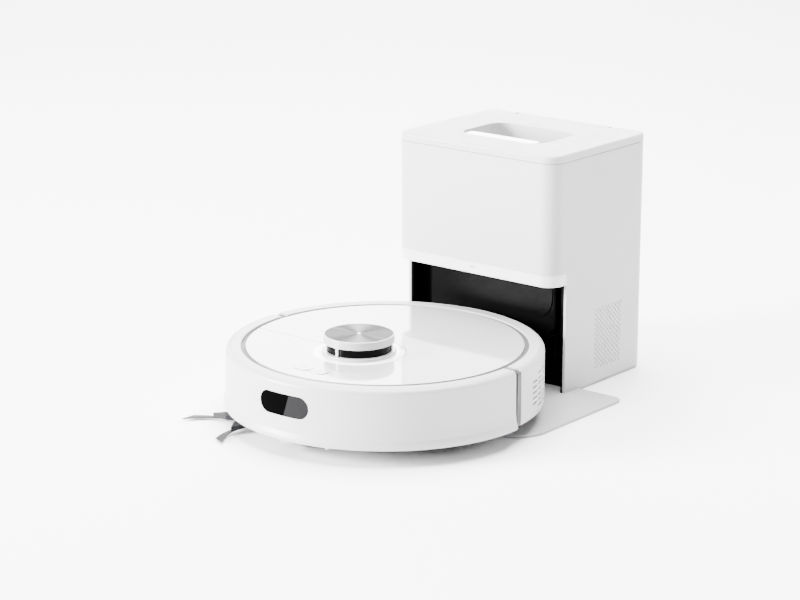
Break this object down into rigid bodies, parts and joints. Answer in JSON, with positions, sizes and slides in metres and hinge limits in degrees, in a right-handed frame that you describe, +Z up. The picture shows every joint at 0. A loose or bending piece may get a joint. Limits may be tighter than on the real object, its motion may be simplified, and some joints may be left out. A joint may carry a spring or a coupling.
{
  "type": "robot vacuum with self-emptying dock",
  "caption": "Round robot vacuum with a range-finder turret, parked in a tall self-emptying dock with a lidded bag bin and a flat base plate.",
  "frame": {"origin": "on the floor, under the middle of the dock's front face", "axes": "+Y from the robot towards the dock's back, +Z up, +X to the right seen from the front"},
  "size_m": [0.351, 0.5217, 0.2756],
  "materials": {
    "bag_cloth": "non-woven",
    "bay_black": "gloss",
    "board_green": "satin",
    "bright_gloss": "high gloss",
    "bristle": "matt",
    "brush_red": "matt",
    "brushed_disc": "radially brushed",
    "cell_blue": "satin",
    "contact_metal": "plated",
    "dark_plastic": "satin",
    "dark_window": "high gloss",
    "filter_paper": "pleated",
    "grey_trim": "satin",
    "groove_grey": "satin",
    "lens_white": "diffuse",
    "mop_clear": "satin translucent",
    "mop_cloth": "microfibre",
    "motor_steel": "plain",
    "plate_grey": "fine texture",
    "robot_white": "gloss",
    "smoke_bin": "translucent",
    "soft_rubber": "matt",
    "steel": "plain",
    "tyre_rubber": "matt",
    "underside": "satin",
    "white_shell": "satin"
  },
  "bodies": {
    "dock": {"base_plate": "plate_grey", "base_pads": "soft_rubber", "dock_screws": "steel", "tower_shell": "white_shell", "side_grilles": "white_shell", "front_chin": "bright_gloss", "status_lens": "lens_white", "bay_liner": "bay_black", "bay_hood": "bay_black", "dust_seal": "soft_rubber", "dust_duct": "dark_plastic", "bag_bin": "dark_plastic", "dust_bag": "bag_cloth", "exhaust_filter": "filter_paper", "dock_motor": "motor_steel", "power_inlet": "dark_plastic"},
    "dock_fan": {"dock_impeller": "dark_plastic"},
    "charge_pin_left": {"charge_pin_left": "contact_metal"},
    "charge_pin_right": {"charge_pin_right": "contact_metal"},
    "lid": {"dock_lid": "white_shell", "carry_bar": "bright_gloss", "lid_hinge_pins": "steel"},
    "robot": {"chassis": "underside", "top_frame": "groove_grey", "rear_shell": "robot_white", "side_strips": "grey_trim", "front_deck": "robot_white", "turret_frame": "robot_white", "turret_window": "dark_window", "dustbin": "smoke_bin", "dustbin_filter": "filter_paper", "battery": "cell_blue", "fan_motor": "motor_steel", "main_board": "board_green", "charge_plates": "contact_metal", "mop_bracket": "mop_clear", "mop_pad": "mop_cloth", "brush_guard": "dark_plastic", "robot_screws": "steel"},
    "flip_lid": {"flip_lid": "robot_white", "flip_lid_pins": "steel"},
    "bumper": {"bumper": "robot_white", "sensor_window": "dark_window"},
    "power_button": {"power_button": "robot_white"},
    "home_button": {"home_button": "robot_white"},
    "turret_cap": {"turret_cap": "robot_white", "turret_disc": "brushed_disc"},
    "range_rotor": {"range_rotor": "dark_plastic"},
    "left_arm": {"left_arm": "dark_plastic"},
    "right_arm": {"right_arm": "dark_plastic"},
    "left_wheel": {"left_tyre": "tyre_rubber", "left_hub": "dark_plastic"},
    "right_wheel": {"right_tyre": "tyre_rubber", "right_hub": "dark_plastic"},
    "caster_fork": {"caster_fork": "dark_plastic"},
    "caster_wheel": {"caster_wheel": "underside"},
    "main_brush": {"main_brush": "brush_red"},
    "side_brush": {"side_brush_hub": "dark_plastic", "side_brush_bristles": "bristle"},
    "robot_fan": {"fan_impeller": "dark_plastic"}
  },
  "joints": [
    {"name": "robot_undock", "type": "slide", "parent": "dock", "child": "robot", "axis": [0, -1, 0], "range_m": [0, 0.4]},
    {"name": "lid_open", "type": "hinge", "parent": "dock", "child": "lid", "pos_m": [0, 0.17875, 0.27115], "axis": [-1, 0, 0], "range_deg": [0, 80]},
    {"name": "dock_fan_spin", "type": "hinge", "parent": "dock", "child": "dock_fan", "pos_m": [0, 0.117, 0.064], "axis": [0, 0, 1], "continuous": true},
    {"name": "charge_press_left", "type": "slide", "parent": "dock", "child": "charge_pin_left", "axis": [0, 1, 0], "range_m": [0, 0.002], "stiffness_N_per_m": 250},
    {"name": "charge_press_right", "type": "slide", "parent": "dock", "child": "charge_pin_right", "axis": [0, 1, 0], "range_m": [0, 0.002], "stiffness_N_per_m": 250},
    {"name": "bumper_press", "type": "slide", "parent": "robot", "child": "bumper", "axis": [0, 1, 0], "range_m": [0, 0.003], "stiffness_N_per_m": 700},
    {"name": "flip_lid_open", "type": "hinge", "parent": "robot", "child": "flip_lid", "pos_m": [0, -0.1946, 0.0804], "axis": [1, 0, 0], "range_deg": [0, 75]},
    {"name": "power_press", "type": "slide", "parent": "robot", "child": "power_button", "axis": [0, 0, -1], "range_m": [0, 0.0008], "stiffness_N_per_m": 600},
    {"name": "home_press", "type": "slide", "parent": "robot", "child": "home_button", "axis": [0, 0, -1], "range_m": [0, 0.0008], "stiffness_N_per_m": 600},
    {"name": "cap_press", "type": "slide", "parent": "robot", "child": "turret_cap", "axis": [0, 0, -1], "range_m": [0, 0.0015], "stiffness_N_per_m": 1200},
    {"name": "range_spin", "type": "hinge", "parent": "robot", "child": "range_rotor", "pos_m": [0, -0.196, 0.0854], "axis": [0, 0, 1], "continuous": true},
    {"name": "left_suspension", "type": "hinge", "parent": "robot", "child": "left_arm", "pos_m": [-0.118, -0.1955, 0.04], "axis": [-1, 0, 0], "range_deg": [-2, 20], "stiffness_Nm_per_rad": 0.6, "springref_deg": 20.05},
    {"name": "left_wheel_spin", "type": "hinge", "parent": "left_arm", "child": "left_wheel", "pos_m": [-0.118, -0.1505, 0.035], "axis": [1, 0, 0], "continuous": true},
    {"name": "right_suspension", "type": "hinge", "parent": "robot", "child": "right_arm", "pos_m": [0.118, -0.1955, 0.04], "axis": [-1, 0, 0], "range_deg": [-2, 20], "stiffness_Nm_per_rad": 0.6, "springref_deg": 20.05},
    {"name": "right_wheel_spin", "type": "hinge", "parent": "right_arm", "child": "right_wheel", "pos_m": [0.118, -0.1505, 0.035], "axis": [1, 0, 0], "continuous": true},
    {"name": "caster_swivel", "type": "hinge", "parent": "robot", "child": "caster_fork", "pos_m": [0, -0.291, 0.03], "axis": [0, 0, 1], "continuous": true},
    {"name": "caster_roll", "type": "hinge", "parent": "caster_fork", "child": "caster_wheel", "pos_m": [0, -0.285, 0.012], "axis": [1, 0, 0], "continuous": true},
    {"name": "main_brush_spin", "type": "hinge", "parent": "robot", "child": "main_brush", "pos_m": [0, -0.1765, 0.0242], "axis": [1, 0, 0], "continuous": true},
    {"name": "side_brush_spin", "type": "hinge", "parent": "robot", "child": "side_brush", "pos_m": [-0.092, -0.2625, 0.0086], "axis": [0, 0, 1], "continuous": true},
    {"name": "robot_fan_spin", "type": "hinge", "parent": "robot", "child": "robot_fan", "pos_m": [0.112, -0.0825, 0.044], "axis": [0, 0, 1], "continuous": true}
  ]
}
